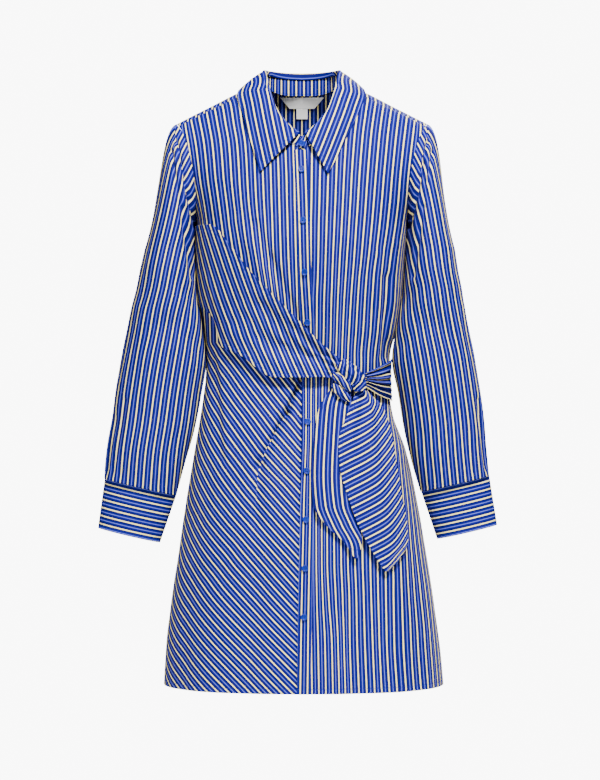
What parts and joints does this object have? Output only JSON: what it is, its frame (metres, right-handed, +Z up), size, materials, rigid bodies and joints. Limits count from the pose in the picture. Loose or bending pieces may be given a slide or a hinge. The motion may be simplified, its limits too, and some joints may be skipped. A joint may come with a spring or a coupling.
{
  "type": "shirt dress",
  "caption": "Long-sleeved striped shirt dress with a pointed collar, buttoned front, wrapped right waist and side knot with two tie ends, filled out and hollow.",
  "frame": {"origin": "on the centre line between the shoulders at the base of the back neck, midway between front and back at the shoulder ridge", "axes": "+Z up, -Y to the front of the dress, +X to the wearer's left"},
  "size_m": [0.5972, 0.3213, 0.9187],
  "materials": {
    "shirting": "fine plain-weave cotton shirting with woven cream, royal blue and pale blue stripes",
    "buttons": "polished blue resin",
    "label": "white satin tape"
  },
  "bodies": {
    "root": {"back": "shirting", "back_yoke": "shirting", "belt_left": "shirting", "button_1": "buttons", "button_10": "buttons", "button_2": "buttons", "button_3": "buttons", "button_4": "buttons", "button_5": "buttons", "button_6": "buttons", "button_7": "buttons", "button_8": "buttons", "button_9": "buttons", "button_neck": "buttons", "collar_leaf": "shirting", "collar_stand": "shirting", "cuff_button_left": "buttons", "cuff_button_right": "buttons", "cuff_left": "shirting", "cuff_right": "shirting", "front_left": "shirting", "front_right": "shirting", "knot_roll": "shirting", "knot_twist": "shirting", "knot_wrap": "shirting", "neck_label": "label", "placket": "shirting", "size_tab": "label", "skirt_right": "shirting", "sleeve_left": "shirting", "sleeve_right": "shirting", "tail_back": "shirting", "tail_front": "shirting", "wrap_right": "shirting"}
  },
  "joints": []
}
